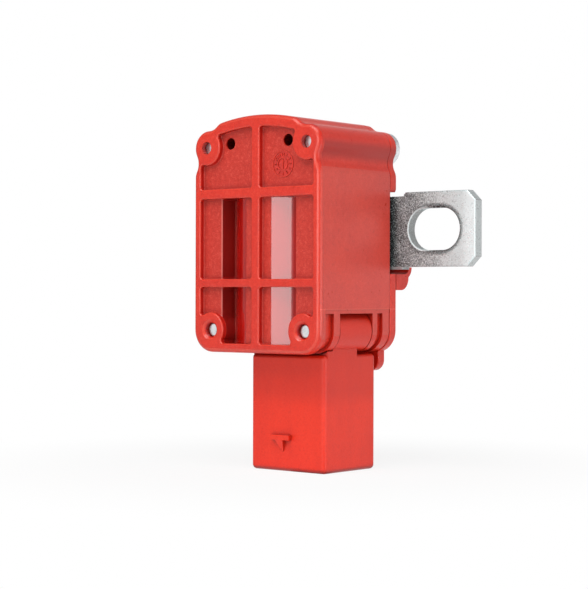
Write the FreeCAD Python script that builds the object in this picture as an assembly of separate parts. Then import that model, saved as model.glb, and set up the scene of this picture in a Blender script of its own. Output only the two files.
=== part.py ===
import FreeCAD, Part
import math
import os

# Pyrotechnic battery fuse. X runs across the body, Y from its lattice front to the cover, Z up.
# A folded bus bar crosses a bore in the housing, and an igniter drives a punch up the bore to cut its link.

# Body, seen from the front
body_width = 33.0
body_height = 47.2           # underside to the crown of the arch
connector_reach = 23.3       # mouth of the connector to the underside of the body
bottom_corner = 4.5          # the lower screws are concentric with it
hip_radius = 3.0             # where the sides start to draw in to the waist
hip_drop = 6.0               # upper screws down to the centre of the hip
waist_radius = 3.0
boss_radius = 3.5
boss_drop = 6.0              # crown down to the upper screws
crown_radius = 45.0
shoulder_radius = 2.5
shoulder_gap = 4.1           # upper screws inwards to the centre of the arch's shoulder
shoulder_nest = 3.5          # hollow between the shoulder and the boss

# Body, front to back
housing_depth = 22.65        # front plane to the split
cover_thickness = 2.05
lug_reach = 5.3              # lugs behind the cover's plate
wall = 1.8
front_edge_radius = 1.0
split_edge_radius = 0.3

# Lattice front
border = 1.8
crown_border = 2.3
floor_depth = 1.2
window_corner = 0.6
smallest_window = 10.0       # area below which a gap between a boss and the border stays filled
lattice_edge_radius = 0.3
lattice_foot_radius = 0.25   # where the windows' walls meet their floors
centre_rib = 2.0
upper_rib_drop = 14.47       # crown down to the upper rib's upper edge
upper_rib = 1.88
lower_rib_rise = 13.1
lower_rib = 1.6
barrel_radius = 13.0         # the windows' floors cut it to a narrow flat beside the centre rib
barrel_setback = 0.8         # front plane to where its nearest line would be
groove_half_width = 9.6
groove_depth = 5.2
vent_radius = 1.2
vent_offset = 7.5
vent_drop = 5.35             # crown down to the vents

# Screws and their holes
screw_radius = 1.5
screw_tip_depth = 1.2        # front plane to the tips
tip_hole_radius = 1.27
lower_hole_radius = 1.45
lower_ring_radius = 2.05
lower_ring_depth = 0.5
head_radius = 3.4
head_height = 1.9
screw_tip_chamfer = 0.35
drive_radius = 1.15
drive_depth = 1.1
drive_lobes = 6
lobe_radius = 0.32
drive_core_radius = 0.86
screw_play = 0.15            # round the shank, in the cover and the eyes

# Fins and slots low on the sides
fin_rise = 7.95              # underside to the top of the slots
fin_setback = 0.15
fin_setback_rise = 8.75
slot_depth = 0.85
slot_reach = 7.0             # how far the slots run in under the body
front_slot_start = 1.84      # behind the front plane, as is its end
front_slot_end = 4.6
bay_front_inset = 16.15      # in front of the split, as are the three below
bay_back_inset = 5.65
rear_slot_front_inset = 4.15
rear_slot_back_inset = 2.35

# Connector
connector_width = 18.9
connector_depth = 16.35
connector_offset = 4.98      # its centre line to the right of the body's
connector_inset = 18.45      # split to the connector's front
connector_wall = 1.5
connector_corner = 0.9
connector_rim_radius = 0.9
connector_top_gap = 0.1      # below the body's underside
socket_depth = 16.0
neck_inset = 8.25            # split to the back of the neck above the connector
eye_radius = 4.3
eye_play = 0.25
carrier_play = 0.2           # between the carrier and the fins
spigot_rise = 5.0            # underside to the top of the carrier's spigot
latch_width = 5.0
latch_height = 1.0
latch_reach = 0.9
latch_rise = 6.2
latch_ramp_width = 1.9
latch_ramp_height = 2.2
latch_ramp_taper = 0.2       # foot of the ramp as a share of its top
latch_ramp_lean = 0.4        # foot of the ramp to the right of its top
latch_offset = 1.45          # latch centre to the left of the connector's centre line

# Bus bar
tab_width = 15.0
bar_thickness = 2.4
tab_rise = 17.25             # underside of the body to the tab's lower edge
tab_reach = 19.8             # tab's end beyond the body's side
tab_setback = 1.0            # split to the front face of the tab
tab_chamfer = 2.0
tab_edge_radius = 0.3
slot_width = 8.4             # clears an M8 stud
slot_length = 12.3
slot_from_side = 9.85        # centre of the slot beyond the body's side
neck_drop = 0.5              # neck's lower edge below the tab's
neck_top_drop = 0.8
neck_corner = 0.5
neck_reach = 2.4             # neck beyond the body's side
neck_start = 14.0            # centre line to where the tab leaves the fold
fold_inner_radius = 1.0
fold_start = 5.0             # centre line to the inner end of each fold
fold_end = 12.4
web_front = 6.2              # front plane to the web's front edge
link_width = 7.0
link_score = 0.5
punch_half_width = 4.0
punch_gap = 4.0              # punch to link at rest

# Bore and what runs and sits in it
bore_radius = 8.5
bore_inset = 9.85            # split to the bore's axis
bore_top_drop = 12.2         # crown down to the bore's end
sleeve_wall = 0.6
running_play = 0.05
piston_height = 5.2
punch_length = 8.0
piston_ring_radius = 0.7
bore_end_gap = 1.9           # cushion to the bore's end
anvil_slot_play = 0.6
cushion_height = 4.0
blade_sink = 2.0             # how far the punch's blade runs into the piston
web_play = 0.1

# Igniter
igniter_base_radius = 4.2
igniter_base_height = 4.0
igniter_cap_radius = 3.0
igniter_cap_rise = 5.9
igniter_bottom_rise = -1.2
igniter_ring_radius = 0.6
retainer_radius = 5.6
retainer_height = 1.2
pin_radius = 0.5
pin_bend = 1.0
pin_spread = 1.3             # half the distance between the igniter's pins
contact_spread = 1.9         # half the distance between the contacts
contact_tip = 5.2            # mouth of the connector to the tips
left_jog_rise = 17.8
right_jog_rise = 19.6
clip_thickness = 0.3
clip_width = 5.6
clip_bend = 1.3
clip_bottom = 8.4

# Cover
cover_box_half_width = 12.4
cover_box_rise = 11.5
cover_box_height = 24.0
cover_box_reach = 4.2        # behind the plate
cover_box_corner = 2.5
cover_box_edge = 1.2
cover_wall = 1.6
notch_rise = 15.85
notch_height = 16.1
notch_corner = 0.9
notch_lip_radius = 1.2       # cover's outer corner above each notch
bar_play = 0.15
tongue_drop = 3.75           # below the body's underside
tongue_corner = 2.2
tongue_inset = 0.8           # tongue narrower than the connector on each side
lug_rise = 12.6
lug_lip = 0.95               # thickness of the lip that curls up beside the tab
lug_tip_radius = 0.4
lug_mass_reach = 4.2
lug_heel_radius = 2.5

# Seals
seal_width = 0.8
seal_depth = 0.6
seal_inset = 0.5
bar_seal_inset = 1.0         # pad back from the body's side

touching = 1e-5              # arcs nearer than this share their end

# Places that follow from the sizes above
half_width = body_width / 2
underside = connector_reach
overall_depth = housing_depth + cover_thickness + lug_reach
front = -overall_depth / 2
split = front + housing_depth
cover_back = split + cover_thickness
bore_y = split - bore_inset
barrel_y = front + barrel_setback + barrel_radius
bay_front = split - bay_front_inset
bay_back = split - bay_back_inset
crown_top = underside + body_height
crown_centre = crown_top - crown_radius
boss_x = half_width - boss_radius
boss_z = crown_top - boss_drop
shoulder_x = boss_x - shoulder_gap
upper_rib_top = crown_top - upper_rib_drop
bore_top = crown_top - bore_top_drop
vent_z = crown_top - vent_drop
lower_x = half_width - bottom_corner
lower_z = underside + bottom_corner
connector_x = connector_offset
connector_front = split - connector_inset
connector_y = connector_front + connector_depth / 2
connector_back = connector_front + connector_depth
tab_front = split + tab_setback
tab_back = tab_front + bar_thickness
web_bottom = underside + tab_rise
web_top = web_bottom + bar_thickness
tab_top = web_bottom + tab_width
tab_end = half_width + tab_reach
slot_x = half_width + slot_from_side
slot_z = web_bottom + tab_width / 2
fold_y = tab_front - fold_inner_radius
fold_z = web_top + fold_inner_radius
spigot_top = underside + spigot_rise
cushion_bottom = bore_top - bore_end_gap - cushion_height
igniter_bottom = underside + igniter_bottom_rise
igniter_cap_top = underside + igniter_cap_rise
retainer_bottom = igniter_bottom + igniter_base_height
piston_radius = bore_radius - sleeve_wall - running_play
punch_top = web_bottom - punch_gap
piston_bottom = igniter_cap_top + 2 * running_play
screw_places = {
    "top_left": (-boss_x, boss_z),
    "top_right": (boss_x, boss_z),
    "bottom_left": (-lower_x, lower_z),
    "bottom_right": (lower_x, lower_z),
}


def place(x, y, z):
    return FreeCAD.Vector(x, y, z)


# Face of a taut string run anticlockwise round pegs (x, z, radius); a negative radius is a peg outside it
def string_round(pegs):
    leaving = []
    for peg, following in zip(pegs, pegs[1:] + pegs[:1]):
        across = following[0] - peg[0]
        up = following[1] - peg[1]
        lean = max(-1.0, min(1.0, (peg[2] - following[2]) / math.hypot(across, up)))
        leaving.append(math.atan2(up, across) - math.acos(lean))
    arcs = []
    for index, (x, z, radius) in enumerate(pegs):
        start = leaving[index - 1]
        turn = (leaving[index] - start) % (2 * math.pi)
        if radius < 0:
            turn -= 2 * math.pi
        spots = [start, start + turn / 2, start + turn]
        arcs.append([place(x + radius * math.cos(spot), 0, z + radius * math.sin(spot)) for spot in spots])
    edges = []
    for arc, following in zip(arcs, arcs[1:] + arcs[:1]):
        if arc[2].distanceToPoint(following[0]) < touching:
            following[0] = arc[2]
        else:
            edges.append(Part.LineSegment(arc[2], following[0]).toShape())
    edges.extend(Part.Arc(*arc).toShape() for arc in arcs)
    return Part.Face(Part.Wire(Part.__sortEdges__(edges)))


# Centre of a ball that rests outside two round pegs, to the right of the way from the first to the second
def nested_peg(first, second, radius):
    span = math.hypot(second[0] - first[0], second[1] - first[1])
    reach = first[2] + radius
    along = (reach ** 2 - (second[2] + radius) ** 2 + span ** 2) / (2 * span)
    aside = math.sqrt(reach ** 2 - along ** 2)
    step_x = (second[0] - first[0]) / span
    step_z = (second[1] - first[1]) / span
    return (first[0] + along * step_x + aside * step_z, first[1] + along * step_z - aside * step_x, -radius)


# Solid between two depths from a face that looks forwards
def between_depths(face, start, end):
    return face.translated(place(0, end, 0)).extrude(place(0, start - end, 0))


def box(x0, x1, y0, y1, z0, z1):
    return Part.makeBox(x1 - x0, y1 - y0, z1 - z0, place(x0, y0, z0))


def rod_back(x, z, radius, start, end):
    return Part.makeCylinder(radius, end - start, place(x, start, z), place(0, 1, 0))


def rod_up(x, y, radius, bottom, top):
    return Part.makeCylinder(radius, top - bottom, place(x, y, bottom))


def ring_up(x, y, middle_radius, section_radius, z):
    return Part.makeTorus(middle_radius, section_radius, place(x, y, z))


def rounded_plate(x0, x1, z0, z1, corner):
    return string_round([
        (x0 + corner, z0 + corner, corner), (x1 - corner, z0 + corner, corner),
        (x1 - corner, z1 - corner, corner), (x0 + corner, z1 - corner, corner)])


# Same shape on the other side of the body's centre line
def mirrored(shape):
    return shape.mirror(place(0, 0, 0), place(1, 0, 0))


# Body's outline, drawn in by an even inset
def body_outline(inset):
    shoulder_rise = math.sqrt((crown_radius - shoulder_radius) ** 2 - shoulder_x ** 2)
    corner = (lower_x, lower_z, bottom_corner)
    hip = (half_width - hip_radius, boss_z - hip_drop, hip_radius)
    boss = (boss_x, boss_z, boss_radius)
    shoulder = (shoulder_x, crown_centre + shoulder_rise, shoulder_radius)
    waist = nested_peg(hip, boss, waist_radius)
    hollow = nested_peg(boss, shoulder, shoulder_nest)
    right = [corner, hip, waist, boss, hollow, shoulder]
    left = [(-x, z, radius) for x, z, radius in reversed(right)]
    pegs = right + [(0, crown_centre, crown_radius)] + left
    return string_round([(x, z, radius - inset) for x, z, radius in pegs])


def edges_at_depth(shape, depth):
    chosen = []
    for edge in shape.Edges:
        bounds = edge.BoundBox
        if abs(bounds.YMin - depth) < 1e-4 and abs(bounds.YMax - depth) < 1e-4:
            chosen.append(edge)
    return chosen


# Whether an edge stays inside a solid's bounds
def lies_in(edge, solid):
    return solid.BoundBox.isInside(edge.BoundBox)


def face_at_depth(shape, depth):
    return [face for face in shape.Faces if abs(face.BoundBox.YMax - depth) < 1e-4][0]


# Window openings of the lattice, cut from the front plane to a depth, within a half width of the centre line
def window_panes(depth, widest):
    sides = min(half_width - border, widest)
    floor = underside + border
    arch = rod_back(0, crown_centre, crown_radius - crown_border, front, front + depth)
    field = box(-sides, sides, front, front + depth, floor, crown_top).common(arch)
    ribs = [
        box(-centre_rib / 2, centre_rib / 2, front, front + depth, underside, crown_top),
        box(-half_width, half_width, front, front + depth,
            upper_rib_top - upper_rib, upper_rib_top),
        box(-half_width, half_width, front, front + depth,
            underside + lower_rib_rise, underside + lower_rib_rise + lower_rib)]
    bosses = [rod_back(x, z, boss_radius, front, front + depth) for x, z in screw_places.values()]
    panes = []
    for pane in field.cut(ribs + bosses).Solids:
        opening = face_at_depth(pane, front)
        if opening.Area > smallest_window:
            rounded = opening.makeOffset2D(-window_corner).makeOffset2D(window_corner)
            panes.append(between_depths(rounded, 0, depth))
    return panes


# Moulded front housing: lattice front, barrel with its bore, screw bosses, side fins, bay for the carrier
def make_front_housing():
    housing = between_depths(body_outline(0), front, split)
    lower_skin = body_outline(0).cut(body_outline(fin_setback))
    skin = between_depths(lower_skin, front + front_slot_start, split)
    low = box(-body_width, body_width, front, split, 0, underside + fin_setback_rise)
    housing = housing.cut(skin.common(low))
    housing = housing.makeFillet(front_edge_radius, edges_at_depth(housing, front))
    housing = housing.makeFillet(split_edge_radius, edges_at_depth(housing, split))

    barrel_top = upper_rib_top - upper_rib / 2
    barrel = rod_up(0, barrel_y, barrel_radius, underside, barrel_top)
    shallow = window_panes(floor_depth, half_width)
    deep = [pane for pane in window_panes(groove_depth, groove_half_width) if pane.BoundBox.ZMax < barrel_top]
    housing = housing.cut([pane.makeFillet(lattice_foot_radius, edges_at_depth(pane, front + floor_depth))
                           for pane in shallow])
    rims = []
    for pane in shallow:
        rims.extend(edge for edge in edges_at_depth(housing, front) if lies_in(edge, pane))
    housing = housing.makeFillet(lattice_edge_radius, rims)
    housing = housing.cut([pane.cut(barrel) for pane in deep])

    core = between_depths(body_outline(wall), front + groove_depth + wall, split)
    core_floor = lower_z + eye_radius + eye_play + wall
    core = core.common(box(-half_width, half_width, front, split, core_floor, crown_top))
    bore_wall = rod_up(0, barrel_y, barrel_radius, underside, crown_top)
    posts = [rod_back(x, z, boss_radius, front, split) for x, z in screw_places.values()]
    housing = housing.cut(core.cut([bore_wall] + posts))
    housing = housing.cut(rod_up(0, bore_y, bore_radius, 0, bore_top))

    web_bay = box(-fold_end - web_play, fold_end + web_play, front + web_front - web_play, split,
                  web_bottom - web_play, web_top + web_play)
    bay_top = lower_z + eye_radius + eye_play
    eye_bay = box(-half_width + wall, half_width - wall, bay_front, bay_back, 0, bay_top)
    side_bay = box(-body_width, body_width, bay_front, bay_back, 0, underside + fin_rise)
    housing = housing.cut([web_bay, eye_bay, side_bay])

    slot_ring = body_outline(0).cut(body_outline(slot_depth))
    front_ring = between_depths(slot_ring, front + front_slot_start, front + front_slot_end)
    rear_ring = between_depths(slot_ring, split - rear_slot_front_inset, split - rear_slot_back_inset)
    for ring in (front_ring, rear_ring):
        for side in (-1, 1):
            near = side * (half_width - slot_reach)
            far = side * body_width
            reach = box(min(near, far), max(near, far), front, split, 0, underside + fin_rise)
            housing = housing.cut(ring.common(reach))

    for x, z in screw_places.values():
        housing = housing.cut(rod_back(x, z, screw_radius, front + screw_tip_depth, split))
    for side in (-1, 1):
        ring = Part.makeCone(lower_ring_radius, lower_hole_radius, lower_ring_depth,
                             place(side * lower_x, front, lower_z), place(0, 1, 0))
        holes = [rod_back(side * boss_x, boss_z, tip_hole_radius, front, split), ring,
                 rod_back(side * lower_x, lower_z, lower_hole_radius, front, split),
                 rod_back(side * vent_offset, vent_z, vent_radius, front, bore_y)]
        housing = housing.cut(holes)
    return housing.cut(make_cover_seal())


# Cord seal in the housing's rear edge
def make_cover_seal():
    loop = body_outline(seal_inset).cut(body_outline(seal_inset + seal_width))
    return between_depths(loop, split - seal_depth, split)


# Rear cover: plate, raised box over the bar, tab notches, lugs under the tabs, tongue behind the connector
def make_rear_cover():
    plate = between_depths(body_outline(0), split, cover_back)
    tongue_left = connector_x - connector_width / 2 + tongue_inset
    tongue_right = connector_x + connector_width / 2 - tongue_inset
    tongue = rounded_plate(tongue_left, tongue_right, underside - tongue_drop,
                           underside + bottom_corner, tongue_corner)
    for side in (-1, 1):
        near = side * cover_box_half_width
        far = side * (body_width + cover_box_half_width)
        notch = rounded_plate(min(near, far), max(near, far),
                              underside + notch_rise, underside + notch_rise + notch_height, notch_corner)
        plate = plate.cut(between_depths(notch, split, cover_back))
    lips = [edge for edge in plate.Edges if edge.BoundBox.YLength > cover_thickness / 2
            and abs(edge.BoundBox.ZMin - underside - notch_rise - notch_height) < touching
            and abs(abs(edge.BoundBox.XMin) - half_width) < touching]
    plate = plate.makeFillet(notch_lip_radius, lips)
    cover = plate.fuse(between_depths(tongue, split, cover_back)).removeSplitter()
    faces_round = edges_at_depth(cover, split) + edges_at_depth(cover, cover_back)
    cover = cover.makeFillet(split_edge_radius, faces_round)

    raised = rounded_plate(-cover_box_half_width, cover_box_half_width, underside + cover_box_rise,
                           underside + cover_box_rise + cover_box_height, cover_box_corner)
    dome = between_depths(raised, split, cover_back + cover_box_reach)
    dome = dome.makeFillet(cover_box_edge, edges_at_depth(dome, cover_back + cover_box_reach))
    cover = cover.fuse(dome)

    lug = make_lug()
    cover = cover.fuse([lug, mirrored(lug)])

    hollow = box(-cover_box_half_width + cover_wall, cover_box_half_width - cover_wall,
                 split, cover_back + cover_box_reach - cover_wall,
                 underside + cover_box_rise + cover_wall,
                 underside + cover_box_rise + cover_box_height - cover_wall)
    passage = box(-body_width, body_width, split, tab_back + bar_play,
                  web_bottom - neck_drop - bar_play, tab_top + bar_play)
    cover = cover.cut([hollow, passage])
    holes = [rod_back(x, z, screw_radius + screw_play, split, cover_back) for x, z in screw_places.values()]
    return cover.cut(holes)


# Lug that stands out behind the cover under the right tab: a rounded mass under a tray whose end curls up
def make_lug():
    shelf = underside + notch_rise
    tray_bottom = shelf - lug_lip
    back = cover_back + lug_reach
    curl_y = back - web_bottom + tray_bottom
    start_x = cover_box_half_width - cover_wall
    length = half_width - start_x
    mass = box(start_x, half_width, cover_back, cover_back + lug_mass_reach, underside + lug_rise, shelf)
    heel = [edge for edge in mass.Edges
            if edge.BoundBox.YMin > cover_back + lug_lip and edge.BoundBox.ZMax < tray_bottom]
    mass = mass.makeFillet(lug_heel_radius, heel)
    tray = box(start_x, half_width, cover_back, curl_y, tray_bottom, shelf)
    middle = place(start_x, curl_y, web_bottom)
    curl = Part.makeCylinder(web_bottom - tray_bottom, length, middle, place(1, 0, 0))
    curl = curl.common(box(start_x, half_width, curl_y, back, tray_bottom, web_bottom))
    hollow = Part.makeCylinder(web_bottom - shelf, length, middle, place(1, 0, 0))
    curl = curl.cut(hollow)
    tips = [edge for edge in edges_at_depth(curl, back - lug_lip) if edge.BoundBox.ZMin > shelf]
    return mass.fuse([tray, curl.makeFillet(lug_tip_radius, tips)]).cut(hollow)


# Upright block with its four standing edges rounded
def upright_block(x0, x1, y0, y1, z0, z1, corner):
    block = box(x0, x1, y0, y1, z0, z1)
    standing = [edge for edge in block.Edges if edge.BoundBox.ZLength > (z1 - z0) / 2]
    return block.makeFillet(corner, standing)


# Round rod along a path of right-angled turns
def bent_rod(points, bend, radius):
    edges = []
    start = points[0]
    for before, corner, after in zip(points, points[1:], points[2:]):
        back = (before - corner).normalize()
        onward = (after - corner).normalize()
        entering = corner + back * bend
        leaving = corner + onward * bend
        middle = corner + (back + onward) * (bend * (1 - math.sqrt(0.5)))
        edges.append(Part.LineSegment(start, entering).toShape())
        edges.append(Part.Arc(entering, middle, leaving).toShape())
        start = leaving
    edges.append(Part.LineSegment(start, points[-1]).toShape())
    section = Part.Wire(Part.makeCircle(radius, points[0], points[1] - points[0]))
    return Part.Wire(edges).makePipeShell([section], True, False)


# T-shaped latch nub on the connector's front: a bar with a tapering ramp below it
def make_latch():
    x = connector_x - latch_offset
    face_y = connector_front
    bar = box(x - latch_width / 2, x + latch_width / 2, face_y - latch_reach, face_y,
              latch_rise, latch_rise + latch_height)
    foot = (latch_rise - latch_ramp_height, latch_ramp_taper, x + latch_ramp_lean)
    loops = []
    for z, share, middle in ((latch_rise, 1, x), foot):
        half = share * latch_ramp_width / 2
        reach = share * latch_reach
        corners = [place(middle - half, face_y, z), place(middle + half, face_y, z),
                   place(middle + half, face_y - reach, z), place(middle - half, face_y - reach, z)]
        loops.append(Part.makePolygon(corners + corners[:1]))
    return bar.fuse(Part.makeLoft(loops, True, True))


# Connector shroud with its latch nub, and the carrier above with two screw eyes and the bore's spigot
def make_connector_housing():
    left = connector_x - connector_width / 2
    right = connector_x + connector_width / 2
    shroud_top = underside - connector_top_gap
    shroud = upright_block(left, right, connector_front, connector_back, 0, shroud_top, connector_corner)
    rims = [edge for edge in shroud.Edges if edge.BoundBox.ZLength < 1e-4]
    shroud = shroud.makeFillet(connector_rim_radius, rims)

    arm_front = bay_front + carrier_play
    arm_back = bay_back - carrier_play
    neck_floor = shroud_top - connector_wall
    neck = box(left, right, arm_front, split - neck_inset, neck_floor, lower_z)
    collar = box(left, right, connector_front + connector_corner, arm_front, neck_floor, lower_z)
    collar = collar.cut(between_depths(body_outline(-carrier_play / 2), connector_front, arm_front))
    arms = string_round([(-lower_x, lower_z, eye_radius), (lower_x, lower_z, eye_radius)])
    arms = between_depths(arms, arm_front, arm_back)
    spigot = rod_up(0, bore_y, bore_radius - running_play, lower_z - eye_radius, spigot_top)
    body = shroud.fuse([neck, collar, arms, spigot, make_latch()])

    inner = upright_block(left + connector_wall, right - connector_wall, connector_front + connector_wall,
                          connector_back - connector_wall, -connector_wall, socket_depth, connector_corner / 2)
    chamber = rod_up(0, bore_y, bore_radius, spigot_top, lower_z + 2 * eye_radius)
    seat = rod_up(0, bore_y, igniter_base_radius, igniter_bottom, spigot_top)
    retainer_seat = rod_up(0, bore_y, retainer_radius, retainer_bottom, spigot_top)
    eyes = [rod_back(side * lower_x, lower_z, screw_radius + screw_play, front, split) for side in (-1, 1)]
    return body.cut([inner, chamber, seat, retainer_seat] + eyes).cut(list(make_contact_pins().values()))


# Pins that jog from the igniter on the bore's axis to the contacts in the middle of the connector
def make_contact_pins():
    pins = {}
    for name, side, jog in (("contact_pin_left", -1, left_jog_rise), ("contact_pin_right", 1, right_jog_rise)):
        upper_x = side * pin_spread
        lower_x_place = connector_x + side * contact_spread
        pins[name] = bent_rod([
            place(upper_x, bore_y, igniter_bottom), place(upper_x, bore_y, jog),
            place(lower_x_place, bore_y, jog), place(lower_x_place, bore_y, contact_tip)], pin_bend, pin_radius)
    return pins


# Folded spring strip against the socket's back wall, its finger resting on both pins
def make_shorting_clip():
    wall_y = connector_back - connector_wall
    bend_y = wall_y - clip_bend
    bend_z = clip_bottom + clip_bend
    leg = box(-clip_width / 2, clip_width / 2, wall_y - clip_thickness, wall_y, bend_z, socket_depth)
    hoop = Part.makeCylinder(clip_bend, clip_width, place(-clip_width / 2, bend_y, bend_z), place(1, 0, 0))
    hoop = hoop.cut(Part.makeCylinder(clip_bend - clip_thickness, clip_width,
                                      place(-clip_width / 2, bend_y, bend_z), place(1, 0, 0)))
    above = box(-clip_width, clip_width, bend_y - clip_width, bend_y + clip_width, bend_z, socket_depth)
    hoop = hoop.cut(above)
    root_y = bend_y - clip_bend
    tip_y = bore_y + pin_radius
    tip_z = socket_depth - clip_bend
    strip = [place(0, root_y, bend_z), place(0, root_y + clip_thickness, bend_z),
             place(0, tip_y + clip_thickness, tip_z), place(0, tip_y, tip_z)]
    finger = Part.Face(Part.makePolygon(strip + strip[:1])).translated(place(-clip_width / 2, 0, 0))
    clip = leg.fuse([hoop, finger.extrude(place(clip_width, 0, 0))])
    return clip.translated(place(connector_x, 0, 0))


# Right half of the bus bar: web, fold and the stepped tab with its stud slot
def make_bar_half():
    web = box(fold_start, fold_end, front + web_front, fold_y, web_bottom, web_top)
    link = box(0, fold_start, bore_y - link_width / 2, bore_y + link_width / 2, web_bottom, web_top)
    outer = Part.makeCylinder(fold_inner_radius + bar_thickness, fold_end - fold_start,
                              place(fold_start, fold_y, fold_z), place(1, 0, 0))
    inner = Part.makeCylinder(fold_inner_radius, fold_end - fold_start,
                              place(fold_start, fold_y, fold_z), place(1, 0, 0))
    fold = outer.cut(inner).common(box(fold_start, fold_end, fold_y, tab_back, web_bottom, fold_z))
    neck_top = tab_top - neck_top_drop
    ear = box(fold_start, neck_start, tab_front, tab_back, fold_z, neck_top)
    neck = box(neck_start, half_width + neck_reach, tab_front, tab_back, web_bottom - neck_drop, neck_top)
    blade = box(half_width + neck_reach, tab_end, tab_front, tab_back, web_bottom, tab_top)
    across = [edge for edge in blade.Edges if edge.BoundBox.YLength > bar_thickness / 2]
    blade = blade.makeChamfer(tab_chamfer, [edge for edge in across if edge.BoundBox.XMin > slot_x])
    across = [edge for edge in blade.Edges
              if edge.BoundBox.YLength > bar_thickness / 2 and edge.BoundBox.XMax < slot_x]
    blade = blade.makeChamfer(neck_corner, [edge for edge in across if edge.BoundBox.ZMax > slot_z])
    half = web.fuse([link, fold, ear, neck, blade]).removeSplitter()
    slot = rounded_plate(slot_x - slot_length / 2, slot_x + slot_length / 2,
                         slot_z - slot_width / 2, slot_z + slot_width / 2, slot_width / 2 - touching)
    half = half.cut(between_depths(slot, tab_front, tab_back))
    rims = [edge for edge in edges_at_depth(half, tab_front) + edges_at_depth(half, tab_back)
            if edge.BoundBox.XMin > half_width]
    half = half.makeFillet(tab_edge_radius, rims)
    score = box(punch_half_width, punch_half_width + link_score, bore_y - link_width, bore_y + link_width,
                web_top - link_score, web_top)
    return half.cut(score)


def make_bus_bar():
    half = make_bar_half()
    return half.fuse(mirrored(half)).removeSplitter()


# Punch that runs up the sleeve: a ringed piston with a blade across the link
def make_piston():
    crown = piston_bottom + piston_height
    piston = rod_up(0, bore_y, piston_radius, piston_bottom, crown)
    blade = box(-punch_half_width, punch_half_width, bore_y - punch_length / 2, bore_y + punch_length / 2,
                crown - blade_sink, punch_top)
    groove_z = piston_bottom + piston_height / 2
    groove = rod_up(0, bore_y, piston_radius, groove_z - piston_ring_radius, groove_z + piston_ring_radius)
    groove = groove.cut(rod_up(0, bore_y, piston_radius - 2 * piston_ring_radius, piston_bottom, crown))
    hollow = rod_up(0, bore_y, igniter_cap_radius, piston_bottom, piston_bottom + piston_ring_radius)
    return piston.fuse(blade).cut([groove, hollow])


def make_piston_seal():
    groove_z = piston_bottom + piston_height / 2
    return ring_up(0, bore_y, piston_radius - piston_ring_radius, piston_ring_radius, groove_z)


def make_pressure_sleeve():
    sleeve = rod_up(0, bore_y, bore_radius, spigot_top, web_bottom - web_play)
    return sleeve.cut(rod_up(0, bore_y, bore_radius - sleeve_wall, spigot_top, web_bottom))


# Insert on top of the link, with the window that the punch drives the cut piece through
def make_anvil():
    anvil = rod_up(0, bore_y, bore_radius, web_top, cushion_bottom)
    half_x = punch_half_width + anvil_slot_play
    half_y = punch_length / 2 + anvil_slot_play
    return anvil.cut(box(-half_x, half_x, bore_y - half_y, bore_y + half_y, web_top, cushion_bottom))


# Crushable plug that closes the anvil's window and stops the punch
def make_catch_cushion():
    return rod_up(0, bore_y, bore_radius, cushion_bottom, cushion_bottom + cushion_height)


# Sealed igniter: a stepped base with a thin domed cap over its charge
def make_igniter():
    base = rod_up(0, bore_y, igniter_base_radius, igniter_bottom + 2 * igniter_ring_radius, retainer_bottom)
    cap = rod_up(0, bore_y, igniter_cap_radius, igniter_bottom, igniter_cap_top)
    rim = [edge for edge in cap.Edges if edge.BoundBox.ZMin > igniter_cap_top - 1e-4]
    return base.fuse(cap.makeFillet(igniter_ring_radius, rim))


def make_igniter_seal():
    middle = igniter_base_radius - igniter_ring_radius
    return ring_up(0, bore_y, middle, igniter_ring_radius, igniter_bottom + igniter_ring_radius)


def make_igniter_retainer():
    ring = rod_up(0, bore_y, retainer_radius, retainer_bottom, retainer_bottom + retainer_height)
    return ring.cut(rod_up(0, bore_y, igniter_cap_radius + running_play, retainer_bottom, spigot_top))


# Pad that fills the gap between the housing's edge and the bar where the right tab leaves
def make_bar_seal():
    return box(fold_end + cover_wall / 2, half_width - bar_seal_inset, split, tab_front,
               web_bottom - neck_drop, tab_top - neck_top_drop)


# Pan-head thread-forming screw put in from behind, with a six-lobed recess
def make_screw(x, z):
    tip = front + screw_tip_depth
    shank = rod_back(x, z, screw_radius, tip, cover_back)
    shank = shank.makeChamfer(screw_tip_chamfer, edges_at_depth(shank, tip))
    head = rod_back(x, z, head_radius, cover_back, cover_back + head_height)
    head = head.makeFillet(head_height / 2, edges_at_depth(head, cover_back + head_height))
    floor = cover_back + head_height - drive_depth
    recess = [rod_back(x, z, drive_core_radius, floor, cover_back + head_height)]
    for lobe in range(drive_lobes):
        angle = lobe * 2 * math.pi / drive_lobes
        lobe_x = x + (drive_radius - lobe_radius) * math.cos(angle)
        lobe_z = z + (drive_radius - lobe_radius) * math.sin(angle)
        recess.append(rod_back(lobe_x, lobe_z, lobe_radius, floor, cover_back + head_height))
    return shank.fuse(head).cut(recess)


os.makedirs("parts", exist_ok=True)
nodes = {
    "front_housing": make_front_housing(),
    "rear_cover": make_rear_cover(),
    "cover_seal": make_cover_seal(),
    "connector_housing": make_connector_housing(),
    "bus_bar": make_bus_bar(),
    "bar_seal_right": make_bar_seal(),
    "bar_seal_left": mirrored(make_bar_seal()),
    "piston": make_piston(),
    "piston_seal": make_piston_seal(),
    "pressure_sleeve": make_pressure_sleeve(),
    "anvil": make_anvil(),
    "catch_cushion": make_catch_cushion(),
    "igniter": make_igniter(),
    "igniter_seal": make_igniter_seal(),
    "igniter_retainer": make_igniter_retainer(),
    "shorting_clip": make_shorting_clip(),
}
nodes.update(make_contact_pins())
for corner_name, (screw_x, screw_z) in screw_places.items():
    nodes["screw_" + corner_name] = make_screw(screw_x, screw_z)
for name, shape in nodes.items():
    shape.exportStep("parts/" + name + ".step")
    print(name, len(shape.Solids), shape.isValid(), round(shape.Volume, 1))
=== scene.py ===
import bpy
import bmesh
import math
from mathutils import Matrix, Vector


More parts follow.
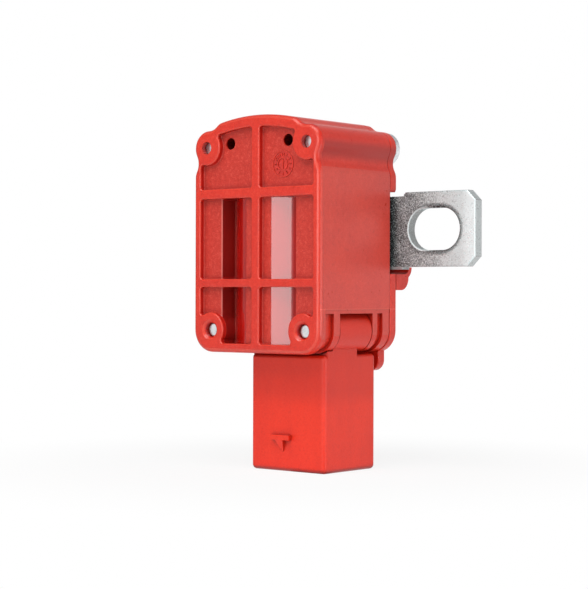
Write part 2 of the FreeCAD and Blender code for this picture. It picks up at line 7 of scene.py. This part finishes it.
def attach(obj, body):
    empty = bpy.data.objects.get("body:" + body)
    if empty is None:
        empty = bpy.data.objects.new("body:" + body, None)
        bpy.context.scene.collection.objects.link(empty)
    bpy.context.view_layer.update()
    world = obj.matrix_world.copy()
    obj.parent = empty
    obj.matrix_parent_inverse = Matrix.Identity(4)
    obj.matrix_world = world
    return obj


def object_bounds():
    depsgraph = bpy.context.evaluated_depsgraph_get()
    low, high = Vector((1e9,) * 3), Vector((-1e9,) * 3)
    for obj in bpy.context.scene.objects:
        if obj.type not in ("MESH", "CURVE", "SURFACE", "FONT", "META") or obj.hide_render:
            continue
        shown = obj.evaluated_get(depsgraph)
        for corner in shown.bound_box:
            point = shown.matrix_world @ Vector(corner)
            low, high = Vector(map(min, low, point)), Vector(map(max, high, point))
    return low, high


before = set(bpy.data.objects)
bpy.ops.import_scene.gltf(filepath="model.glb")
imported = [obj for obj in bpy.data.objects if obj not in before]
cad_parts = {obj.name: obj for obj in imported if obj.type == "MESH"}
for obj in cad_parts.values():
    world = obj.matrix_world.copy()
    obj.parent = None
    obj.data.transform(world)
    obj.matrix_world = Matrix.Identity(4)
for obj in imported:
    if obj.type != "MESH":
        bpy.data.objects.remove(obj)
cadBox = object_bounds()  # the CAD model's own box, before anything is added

mm = 0.001


# A socket that can be used in sums
class Signal:
    def __init__(self, paint, socket):
        self.paint = paint
        self.socket = socket

    def sum(self, operation, first, second=0.0):
        return self.paint.add("ShaderNodeMath", {"operation": operation}, {0: first, 1: second})

    def __add__(self, other):
        return self.sum("ADD", self, other)

    def __radd__(self, other):
        return self.sum("ADD", other, self)

    def __sub__(self, other):
        return self.sum("SUBTRACT", self, other)

    def __rsub__(self, other):
        return self.sum("SUBTRACT", other, self)

    def __mul__(self, other):
        return self.sum("MULTIPLY", self, other)

    def __rmul__(self, other):
        return self.sum("MULTIPLY", other, self)

    def __pow__(self, other):
        return self.sum("POWER", self, other)

    def __gt__(self, other):
        return self.sum("GREATER_THAN", self, other)

    def __lt__(self, other):
        return self.sum("LESS_THAN", self, other)

    def __abs__(self):
        return self.sum("ABSOLUTE", self)

    def between(self, low, high):  # 1 inside the range, 0 outside it
        return (self > low) * (self < high)


# The nodes of one material or world
class Paint:
    shaderSockets = {
        "color": "Base Color", "roughness": "Roughness", "metallic": "Metallic", "normal": "Normal",
        "coat": "Coat Weight", "coatRoughness": "Coat Roughness", "coatIor": "Coat IOR", "ior": "IOR",
    }

    def __init__(self, owner, coordinate="Object", unit=mm):
        self.owner = owner
        owner.use_nodes = True
        self.tree = owner.node_tree
        self.tree.nodes.clear()
        where = self.add("ShaderNodeTexCoord", {}, {}, coordinate)
        # in millimetres for materials
        self.spot = self.add("ShaderNodeVectorMath", {"operation": "SCALE"}, {0: where, "Scale": 1 / unit})
        self.x = self.add("ShaderNodeSeparateXYZ", {}, {0: self.spot}, "X")
        self.y = Signal(self, self.x.socket.node.outputs["Y"])
        self.z = Signal(self, self.x.socket.node.outputs["Z"])

    def add(self, kind, settings, values, output=0):
        node = self.tree.nodes.new(kind)
        for key, setting in settings.items():
            setattr(node, key, setting)
        for key, value in values.items():
            socket = node.inputs[key]
            if isinstance(value, Signal):
                self.tree.links.new(value.socket, socket)
            else:
                socket.default_value = value
        return Signal(self, node.outputs[output] if len(node.outputs) else None)

    def noise(self, size, detail=2.0, roughness=0.5, stretch=(1, 1, 1)):
        spot = self.add("ShaderNodeVectorMath", {"operation": "MULTIPLY"}, {0: self.spot, 1: stretch})
        return self.add("ShaderNodeTexNoise", {},
                        {"Vector": spot, "Scale": 1 / size, "Detail": detail, "Roughness": roughness})

    def cells(self, size, feature="F1", output="Distance"):
        return self.add("ShaderNodeTexVoronoi", {"feature": feature}, {"Vector": self.spot, "Scale": 1 / size}, output)

    def ease(self, value, low, high, start=0.0, end=1.0):
        return self.add("ShaderNodeMapRange", {"interpolation_type": "SMOOTHSTEP"},
                        {"Value": value, 1: low, 2: high, 3: start, 4: end})

    def mix(self, share, first, second):
        return self.add("ShaderNodeMix", {"data_type": "RGBA"}, {0: share, 6: first, 7: second}, 2)

    def bump(self, height, strength, distance, under=None):
        values = {"Height": height, "Strength": strength, "Distance": distance * mm}
        if under is not None:
            values["Normal"] = under
        return self.add("ShaderNodeBump", {}, values)

    def corners(self, reach):  # 1 deep in a corner, 0 on open faces
        openness = self.add("ShaderNodeAmbientOcclusion", {"samples": 6}, {"Distance": reach * mm}, "AO")
        return self.ease(openness, 0.4, 0.92, 1.0, 0.0)

    def finish(self, **sockets):
        shader = self.add("ShaderNodeBsdfPrincipled", {},
                          {self.shaderSockets[key]: value for key, value in sockets.items()})
        return self.surface(shader)

    def surface(self, shader, kind="ShaderNodeOutputMaterial"):
        self.add(kind, {}, {"Surface": shader})
        return self.owner


def paintFor(name):
    return Paint(bpy.data.materials.new(name))


def rgb(red, green, blue):
    return (red, green, blue, 1.0)


# Pale and dark specks of the moulding grain
def speckled(paint, own, color, grain, mottle, pale, dark):
    speck = grain * 0.6 + mottle * 0.4
    color = paint.mix(paint.ease(speck, 0.5, 0.66) * pale, color, own["paleRed"])
    return paint.mix(paint.ease(speck, 0.5, 0.36) * dark, color, own["darkRed"])


# Moulded plastic of the body: spark-textured floors, satin ribs and sides, barrel polished in the mould
bodyPlastic = {
    "red": rgb(0.79, 0.03, 0.01), "deepRed": rgb(0.73, 0.024, 0.009), "paleRed": rgb(0.95, 0.17, 0.12),
    "darkRed": rgb(0.42, 0.012, 0.006), "floorRed": rgb(0.64, 0.034, 0.018), "deepShadeRed": rgb(0.54, 0.007, 0.004),
    "grooveShadeRed": rgb(0.3, 0.005, 0.003), "ventRed": rgb(0.12, 0.003, 0.002), "cornerRed": rgb(0.22, 0.006, 0.003),
    "hazeRed": rgb(0.6, 0.2, 0.17), "glintRed": rgb(0.75, 0.2, 0.17),
    "satin": 0.3, "spark": 0.46, "edge": 0.22, "gloss": 0.07,        # roughness
    "drift": 9.0, "grain": 0.26, "mottle": 0.7, "cornerReach": 1.6,  # millimetres, as is all below
    "front": -15.0, "edgeBand": (0.03, 0.28), "floorY": -13.8, "floorBand": (-0.1, 0.02),
    "wallWithin": 15.2, "wallHeights": (25.0, 68.3), "side": 16.25, "split": 7.6, "finLineHighlight": (31.95, 32.2),
    "grooveY": -9.7, "grooveHalf": 9.6, "barrelRadius": 13.0, "barrelY": -1.2, "barrelTop": 55.09,
    "ventX": 7.5, "ventHalf": 1.25, "ventHeights": (60.0, 67.0),
    "hollowX": 12.5, "hollowY": -13.6, "hollowRise": (60.6, 62.6), "hollowFall": (64.0, 65.6),  # under the upper bosses
    "barrelGlint": (-8.6, -7.0), "floorGlint": (-9.95, -9.6),        # painted where the photo shows a pale line
}


def bodyRed():
    own = bodyPlastic
    paint = paintFor("bodyRed")
    across = abs(paint.x)
    drift = paint.noise(own["drift"], 3.0, 0.55)
    grain = paint.noise(own["grain"], 3.0, 0.7)
    mottle = paint.noise(own["mottle"], 3.0, 0.6)

    # each surface is found by its place on the solid
    floorStart, floorEnd = (own["floorY"] + part for part in own["floorBand"])
    floor = paint.y.between(floorStart, floorEnd)
    below = paint.z < own["barrelTop"]
    polished = paint.y.between(floorEnd, own["grooveY"]) * (across < own["grooveHalf"] + 0.05) * below
    radius = (paint.x ** 2 + (paint.y - own["barrelY"]) ** 2) ** 0.5
    barrel = polished * paint.ease(abs(radius - own["barrelRadius"]), 0.03, 0.08, 1.0, 0.0)
    edge = paint.y.between(*(own["front"] + part for part in own["edgeBand"]))
    finLineHighlight = paint.z.between(*own["finLineHighlight"]) * (across > own["side"])
    haze = (across > own["side"]) * (paint.y < own["split"]) * paint.ease(paint.z, *own["hollowRise"], 1.0, 0.0)
    hollow = paint.ease(paint.z, *own["hollowRise"]) * paint.ease(paint.z, *own["hollowFall"], 1.0, 0.0)
    hollow = hollow * (across > own["hollowX"]) * (paint.y > own["hollowY"])
    glint = barrel * paint.ease(paint.x, *own["barrelGlint"], 1.0, 0.0)
    glint = glint + floor * paint.x.between(*own["floorGlint"]) * below
    wall = paint.y.between(own["front"] + 0.4, own["floorY"] - 0.2) * (across < own["wallWithin"])
    wall = wall * paint.z.between(*own["wallHeights"])
    vent = paint.y.between(own["floorY"] + 0.3, own["barrelY"]) * paint.z.between(*own["ventHeights"])
    vent = vent * (abs(across - own["ventX"]) < own["ventHalf"])

    # haze, hollow, glint, corners, wall and vent are painted shading: they copy light and shade in the photo
    color = paint.mix(paint.ease(drift, 0.35, 0.65), own["deepRed"], own["red"])
    color = paint.mix(floor, color, own["floorRed"])
    color = speckled(paint, own, color, grain, mottle, 0.22 + 0.22 * floor, 0.3 + 0.2 * floor)
    color = paint.mix(haze * 0.2, color, own["hazeRed"])
    color = paint.mix(hollow * 0.8, color, own["darkRed"])
    # painted highlights: pale lines along the front edge band and along the fin line
    color = paint.mix(edge * 0.3 + finLineHighlight * 0.4, color, own["paleRed"])
    # painted shade: darker red over the groove and its barrel, darkest on the groove's walls
    color = paint.mix(polished, color, own["deepShadeRed"])
    color = paint.mix(polished * (1 - barrel), color, own["grooveShadeRed"])
    color = paint.mix(glint * 0.75, color, own["glintRed"])
    color = paint.mix(paint.corners(own["cornerReach"]) * (0.75 - 0.75 * polished), color, own["cornerRed"])
    color = paint.mix(wall * 0.75, color, own["deepShadeRed"])
    color = paint.mix(vent, color, own["ventRed"])

    rough = own["satin"] + floor * (own["spark"] - own["satin"]) - edge * (own["satin"] - own["edge"])
    rough = rough + (drift - 0.5) * 0.06 + (mottle - 0.5) * 0.1
    roughness = rough + barrel * (own["gloss"] - rough)
    texture = (grain * (0.5 + floor) + mottle * 0.3) * (1 - barrel)
    return paint.finish(color=color, roughness=roughness, normal=paint.bump(texture, 0.8, 0.08), ior=1.49,
                        coat=barrel, coatRoughness=0.05, coatIor=1.55)


connectorPlastic = {
    "red": rgb(0.93, 0.032, 0.006), "deepRed": rgb(0.86, 0.026, 0.005), "paleRed": rgb(0.98, 0.14, 0.08),
    "darkRed": rgb(0.55, 0.014, 0.004), "cornerRed": rgb(0.26, 0.007, 0.003), "satin": 0.36,
    "drift": 7.0, "grain": 0.28, "mottle": 0.6, "cornerReach": 1.6, "shade": (12.0, 16.5),  # millimetres
}


def connectorRed():
    own = connectorPlastic
    paint = paintFor("connectorRed")
    drift = paint.noise(own["drift"], 3.0, 0.55, (1, 1, 0.35))
    grain = paint.noise(own["grain"], 3.0, 0.7)
    mottle = paint.noise(own["mottle"], 3.0, 0.65)
    color = paint.mix(paint.ease(drift, 0.35, 0.65), own["deepRed"], own["red"])
    color = speckled(paint, own, color, grain, mottle, 0.14, 0.25)
    # painted shade, under the housing and in corners
    color = paint.mix(paint.ease(paint.z, *own["shade"]) * 0.4, color, own["darkRed"])
    color = paint.mix(paint.corners(own["cornerReach"]) * 0.75, color, own["cornerRed"])
    roughness = own["satin"] + (drift - 0.5) * 0.06 + (mottle - 0.5) * 0.1
    normal = paint.bump(grain + mottle * 0.4, 0.8, 0.06)
    return paint.finish(color=color, roughness=roughness, normal=normal, ior=1.49)


# Tin over copper: fine crystals, with painted shade where the strip leaves the housing and painted reflection
# brightening it towards its free ends, which are also smoother and more metallic
tinPlate = {
    "light": rgb(0.64, 0.74, 0.742), "mid": rgb(0.19, 0.235, 0.236), "dark": rgb(0.014, 0.018, 0.019),
    "bright": rgb(0.84, 0.95, 0.955), "cutGrey": rgb(0.4, 0.4, 0.4),
    "speck": 0.27, "crystal": 0.36, "cloud": 2.6,                    # millimetres, as is all below
    "dull": (16.0, 18.2), "brighterOutward": (16.0, 35.5), "polished": (32.5, 34.9), "end": 36.2,
    "slotX": 26.35, "slotZ": 48.05, "slotRadius": 4.15, "slotStraight": 2.0, "slotWall": 0.02,
    "slotShadeBand": (0.05, 1.3), "lip": (0.03, 0.28), "far": (22.35, 27.35), "halfWidth": 7.43, "chamfer": 41.73,
}


def tinned():
    own = tinPlate
    paint = paintFor("tinned")
    across = abs(paint.x)
    rise = abs(paint.z - own["slotZ"])
    along = abs(across - own["slotX"]) - own["slotStraight"]
    along = along * (along > 0)
    rim = (along ** 2 + rise ** 2) ** 0.5 - own["slotRadius"]        # distance from the slot's wall
    # painted light: brighter towards the free ends, darker where the strip leaves the housing
    away = paint.ease(across, *own["brighterOutward"])
    rootShade = paint.ease(across, *own["dull"], 0.7, 0.0)
    far = paint.ease(across, *own["far"])
    # painted shade around the slot, strongest on its outer side
    ring = paint.ease(rim, *own["slotShadeBand"], 0.7, 0.0) * (rim > own["lip"][0])
    brightLipAndEnd = rim.between(*own["lip"]) * (1 - far) + paint.ease(across, *own["polished"])
    cut = (across > own["end"]) + (rise > own["halfWidth"]) + (across + rise > own["chamfer"]) + (rim < own["slotWall"])

    crystal = paint.add("ShaderNodeSeparateColor", {}, {0: paint.cells(own["crystal"], "F1", "Color")})
    speck = paint.noise(own["speck"], 3.0, 0.8)
    cloud = paint.noise(own["cloud"], 3.0, 0.6)
    uneven = (crystal - 0.5) * 0.45 + (speck - 0.5) * 3.4 + (cloud - 0.5) * 1.0
    shade = 0.16 + uneven * (1.15 - away * 0.75) + away * 0.95 - rootShade - ring * (0.25 + far * 1.3)
    color = paint.mix(paint.ease(shade, -0.45, 0.3), own["dark"], own["mid"])
    color = paint.mix(paint.ease(shade, 0.2, 1.1), color, own["light"])
    color = paint.mix(paint.ease(speck, 0.56, 0.66) * (0.9 - away * 0.5), color, own["bright"])
    # painted highlight on the slot's rim nearest the housing, and a bright band near the free ends
    color = paint.mix(brightLipAndEnd * 0.7, color, own["bright"])
    color = paint.mix(cut * 0.7, color, own["cutGrey"])
    roughness = 0.44 - away * 0.1 + (crystal - 0.5) * 0.15 + (speck - 0.5) * 0.3
    normal = paint.bump(speck + crystal * 0.5, 0.6, 0.05)
    return paint.finish(color=color, roughness=roughness, metallic=0.12 + away * 0.2, normal=normal)


zincPlate = {
    "dull": rgb(0.62, 0.64, 0.66), "light": rgb(0.8, 0.82, 0.84), "satin": 0.19, "cloud": 0.8, "speck": 0.12,
}


def zincPlated():
    own = zincPlate
    paint = paintFor("zincPlated")
    cloud = paint.noise(own["cloud"], 3.0, 0.6)
    speck = paint.noise(own["speck"], 2.0, 0.6)
    color = paint.mix(paint.ease(cloud, 0.3, 0.7), own["dull"], own["light"])
    roughness = own["satin"] + cloud * 0.14 + speck * 0.05
    return paint.finish(color=color, roughness=roughness, metallic=1.0, normal=paint.bump(speck, 0.3, 0.02))


# Finishes of two shades with one cloud between them
# size in millimetres, roughness as the least and what the cloud adds, bump as strength and millimetres
plainFinishes = {
    "platedContact": {
        "shades": (rgb(0.78, 0.6, 0.3), rgb(0.86, 0.72, 0.42)), "size": 0.4, "stretch": (1, 1, 0.08),
        "spread": (0.35, 0.65), "roughness": (0.24, 0.1), "metallic": 1.0, "bump": (0.2, 0.01),
    },
    "springSteel": {
        "shades": (rgb(0.52, 0.52, 0.53), rgb(0.68, 0.68, 0.69)), "size": 0.3, "stretch": (1, 0.1, 0.1),
        "spread": (0.35, 0.65), "roughness": (0.25, 0.14), "metallic": 1.0, "bump": (0.2, 0.01),
    },
    "sealRubber": {
        "shades": (rgb(0.016, 0.016, 0.017), rgb(0.0296, 0.0296, 0.031)), "size": 0.5, "stretch": (1, 1, 1),
        "spread": (0.5, 0.8), "roughness": (0.56, 0.2), "metallic": 0.0, "bump": (0.3, 0.03),
    },
    "innerPlastic": {
        "shades": (rgb(0.05, 0.05, 0.055), rgb(0.085, 0.085, 0.09)), "size": 1.6, "stretch": (1, 1, 0.3),
        "spread": (0.35, 0.65), "roughness": (0.345, 0.15), "metallic": 0.0, "bump": (0.2, 0.03),
    },
    "clockRed": {
        "shades": (rgb(0.6, 0.026, 0.015), rgb(0.74, 0.036, 0.022)), "size": 0.5, "stretch": (1, 1, 1),
        "spread": (0.35, 0.65), "roughness": (0.2, 0.2), "metallic": 0.0, "bump": (0.5, 0.05),
    },
}


def plainFinish(name):
    own = plainFinishes[name]
    paint = paintFor(name)
    cloud = paint.noise(own["size"], 3.0, 0.6, own["stretch"])
    color = paint.mix(paint.ease(cloud, *own["spread"]), *own["shades"])
    roughness = own["roughness"][0] + cloud * own["roughness"][1]
    return paint.finish(color=color, roughness=roughness, metallic=own["metallic"],
                        normal=paint.bump(cloud, *own["bump"]))


finishes = {
    "bodyRed": (bodyRed(), ["front_housing", "rear_cover"]),
    "connectorRed": (connectorRed(), ["connector_housing"]),
    "tinned": (tinned(), ["bus_bar"]),
    "zincPlated": (zincPlated(), ["screw_top_left", "screw_top_right", "screw_bottom_left", "screw_bottom_right"]),
    "platedContact": (plainFinish("platedContact"), ["contact_pin_left", "contact_pin_right"]),
    "springSteel": (plainFinish("springSteel"), ["shorting_clip", "igniter", "pressure_sleeve"]),
    "sealRubber": (plainFinish("sealRubber"),
                   ["cover_seal", "bar_seal_right", "bar_seal_left", "piston_seal", "igniter_seal"]),
    "innerPlastic": (plainFinish("innerPlastic"), ["piston", "anvil", "catch_cushion", "igniter_retainer"]),
}
for material, nodes in finishes.values():
    for node in nodes:
        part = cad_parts[node]
        for slot in part.material_slots:
            slot.material = material
print("finishes done")


# Date clock moulded into the upper right window
dateClock = {
    "place": (6.29, 60.5), "floor": -13.8,          # millimetres
    "rim": 2.62, "rimWidth": 0.16, "disc": 2.42, "innerRim": 1.25, "innerWidth": 0.1,
    "numberRadius": 1.86, "numberSize": 0.86, "raised": 0.18, "rimRaised": 0.126, "discRaised": 0.02, "sunk": 0.03,
    "arrow": 0.95, "stem": 0.09, "head": 0.32, "headLength": 0.5, "segments": 96,
}


def ringBand(mesh, inner, outer, low, high, segments):
    rows = []
    for radius, height in ((outer, low), (outer, high), (inner, high), (inner, low)):
        rows.append([mesh.verts.new((radius * math.cos(turn), radius * math.sin(turn), height))
                     for turn in (2 * math.pi * step / segments for step in range(segments))])
    for first, second in zip(rows, rows[1:] + rows[:1]):
        for here in range(segments):
            after = (here + 1) % segments
            mesh.faces.new((first[here], first[after], second[after], second[here]))


def raisedShape(mesh, outline, low, high):
    bottom = [mesh.verts.new((x, y, low)) for x, y in outline]
    top = [mesh.verts.new((x, y, high)) for x, y in outline]
    mesh.faces.new(bottom[::-1])
    mesh.faces.new(top)
    for here in range(len(outline)):
        after = (here + 1) % len(outline)
        mesh.faces.new((bottom[here], bottom[after], top[after], top[here]))


def numberMesh(text, size, depth):
    curve = bpy.data.curves.new("number", "FONT")
    curve.body = text
    curve.size = size
    curve.extrude = depth / 2
    curve.align_x = "CENTER"
    curve.align_y = "CENTER"
    curve.resolution_u = 3
    holder = bpy.data.objects.new("number", curve)
    shape = bpy.data.meshes.new_from_object(holder)
    bpy.data.objects.remove(holder)
    bpy.data.curves.remove(curve)
    return shape


def addToHousing(name, mesh, material):
    own = dateClock
    stand = Matrix.Translation((own["place"][0], own["floor"], own["place"][1])) @ Matrix.Rotation(math.pi / 2, 4, "X")
    mesh.transform(Matrix.Scale(mm, 4) @ stand)
    bmesh.ops.recalc_face_normals(mesh, faces=mesh.faces)
    pieceMesh = bpy.data.meshes.new(name)
    mesh.to_mesh(pieceMesh)
    mesh.free()
    piece = bpy.data.objects.new(name, pieceMesh)
    pieceMesh.materials.append(material)
    bpy.context.scene.collection.objects.link(piece)
    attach(piece, "housing")


def makeDateClock():
    own = dateClock
    low, high = -own["sunk"], own["raised"]
    turns = [2 * math.pi * step / own["segments"] for step in range(own["segments"])]
    disc = bmesh.new()
    raisedShape(disc, [(own["disc"] * math.cos(turn), own["disc"] * math.sin(turn)) for turn in turns],
                low, own["discRaised"])
    addToHousing("dateClockDisc", disc, plainFinish("clockRed"))
    mesh = bmesh.new()
    ringBand(mesh, own["rim"] - own["rimWidth"], own["rim"], low, own["rimRaised"], own["segments"])
    ringBand(mesh, own["innerRim"] - own["innerWidth"], own["innerRim"], low, high, own["segments"])
    stem, head, reach, neck = own["stem"], own["head"], own["arrow"], own["arrow"] - own["headLength"]
    raisedShape(mesh, [(-stem, -reach), (stem, -reach), (stem, neck), (head, neck),
                       (0, reach), (-head, neck), (-stem, neck)], low, high)
    for number in range(1, 13):
        turn = math.radians(90 - 30 * number)
        shape = numberMesh(str(number), own["numberSize"], high - low)
        shift = Vector((own["numberRadius"] * math.cos(turn), own["numberRadius"] * math.sin(turn), (low + high) / 2))
        shape.transform(Matrix.Translation(shift) @ Matrix.Rotation(turn - math.pi / 2, 4, "Z"))
        mesh.from_mesh(shape)
        bpy.data.meshes.remove(shape)
    addToHousing("dateClock", mesh, finishes["bodyRed"][0])


makeDateClock()
print("date clock done")


# Floor and backdrop
# azimuths as the camera's: 0 is straight in front, 90 to the right
studio = {
    "floorSize": 3.0, "floorShade": 0.93, "shadow": (31.5, 90.0), "nearShare": 0.88, "worldLevel": 0.1,
    "darkShare": 0.85, "rightDark": (26, 31, 56, 68), "leftDark": (-125, -112, -62, -45),
    "above": (0.15, 0.6), "aboveShare": 0.45,
}


# How much of the white room is mirrored in each direction: it is dark beside the main light and dimmer above
def mirroredShare(paint):
    azimuth = paint.add("ShaderNodeMath", {"operation": "ARCTAN2"}, {0: paint.x, 1: 0 - paint.y}) * (180 / math.pi)
    dark = 0.0
    for start, full, fading, end in (studio["rightDark"], studio["leftDark"]):
        dark = paint.ease(azimuth, start, full) * paint.ease(azimuth, fading, end, 1.0, 0.0) + dark
    return (1 - dark * studio["darkShare"]) * paint.ease(paint.z, *studio["above"], 1.0, studio["aboveShare"])


def whiteShare(paint):
    seen = paint.add("ShaderNodeLightPath", {}, {}, "Is Camera Ray")
    mirrored = paint.add("ShaderNodeLightPath", {}, {}, "Is Glossy Ray")
    return seen + mirrored * (1 - seen) * mirroredShare(paint)


def studioWhite():
    paint = paintFor("studioWhite")
    plain = paint.add("ShaderNodeBsdfDiffuse", {}, {"Color": rgb(*[studio["floorShade"]] * 3)})
    glow = paint.add("ShaderNodeEmission", {}, {"Color": rgb(1, 1, 1), "Strength": 1.0})
    away = (paint.x ** 2 + paint.y ** 2) ** 0.5
    bright = paint.ease(away, *studio["shadow"], studio["nearShare"], 1.0)
    return paint.surface(paint.add("ShaderNodeMixShader", {}, {0: whiteShare(paint) * bright, 1: plain, 2: glow}))


def makeFloor():
    mesh = bmesh.new()
    bmesh.ops.create_grid(mesh, x_segments=1, y_segments=1, size=studio["floorSize"])
    floorMesh = bpy.data.meshes.new("floor")
    mesh.to_mesh(floorMesh)
    mesh.free()
    floor = bpy.data.objects.new("floor", floorMesh)
    floor.location = (0, 0, cadBox[0][2])
    floorMesh.materials.append(studioWhite())
    bpy.context.scene.collection.objects.link(floor)


def makeWorld():
    world = bpy.data.worlds.new("studio")
    bpy.context.scene.world = world
    paint = Paint(world, "Generated", 1.0)
    dim = paint.add("ShaderNodeBackground", {}, {"Color": rgb(1, 1, 1), "Strength": studio["worldLevel"]})
    white = paint.add("ShaderNodeBackground", {}, {"Color": rgb(1, 1, 1), "Strength": 1.0})
    both = paint.add("ShaderNodeMixShader", {}, {0: whiteShare(paint), 1: dim, 2: white})
    paint.surface(both, "ShaderNodeOutputWorld")


makeFloor()
makeWorld()

lamps = {
    "frontBox": {"azimuth": 7, "elevation": 2, "away": 0.6, "wide": 0.41, "tall": 0.4, "watts": 1.45},
    "highBox": {"azimuth": 14, "elevation": 60, "away": 0.6, "wide": 0.5, "tall": 0.4, "watts": 2.5},
    "rightBox": {"azimuth": 88, "elevation": 4, "away": 0.5, "wide": 0.2, "tall": 0.5, "watts": 0.36},
    "lowBox": {"azimuth": 82, "elevation": -10, "away": 0.13, "wide": 0.06, "tall": 0.04, "watts": 0.03},
    "topBox": {"azimuth": 90, "elevation": 78, "away": 0.7, "wide": 0.7, "tall": 0.7, "watts": 0.4},
}


def towards(azimuth, elevation):
    a, e = math.radians(azimuth), math.radians(elevation)
    return Vector((math.sin(a) * math.cos(e), -math.cos(a) * math.cos(e), math.sin(e)))


middle = (Vector(cadBox[0]) + Vector(cadBox[1])) / 2
for name, own in lamps.items():
    light = bpy.data.lights.new(name, "AREA")
    light.shape = "RECTANGLE"
    light.size = own["wide"]
    light.size_y = own["tall"]
    light.energy = own["watts"]
    lamp = bpy.data.objects.new(name, light)
    direction = towards(own["azimuth"], own["elevation"])
    lamp.location = middle + direction * own["away"]
    lamp.rotation_euler = direction.to_track_quat("Z", "Y").to_euler()
    bpy.context.scene.collection.objects.link(lamp)
print("studio done")


# Camera
view = {"place": (0.2231, -0.27155, 0.03525), "azimuth": 39.7, "elevation": 0.0, "roll": 0.17,
        "lens": 105.25, "sensor": 36, "shiftY": -0.0025, "nearest": 0.01}


def makeCamera():
    lens = bpy.data.cameras.new("camera")
    lens.lens = view["lens"]
    lens.sensor_width = view["sensor"]
    lens.sensor_fit = "AUTO"
    lens.shift_y = view["shiftY"]
    lens.clip_start = view["nearest"]
    camera = bpy.data.objects.new("camera", lens)
    back = towards(view["azimuth"], view["elevation"])
    right = Vector((0, 0, 1)).cross(back).normalized()
    up = back.cross(right)
    turn = Matrix.Rotation(math.radians(view["roll"]), 3, back)
    axes = Matrix((turn @ right, turn @ up, back)).transposed()
    camera.matrix_world = Matrix.Translation(view["place"]) @ axes.to_4x4()
    bpy.context.scene.collection.objects.link(camera)
    bpy.context.scene.camera = camera


makeCamera()
bpy.context.scene.view_settings.view_transform = "Standard"
print("camera done")
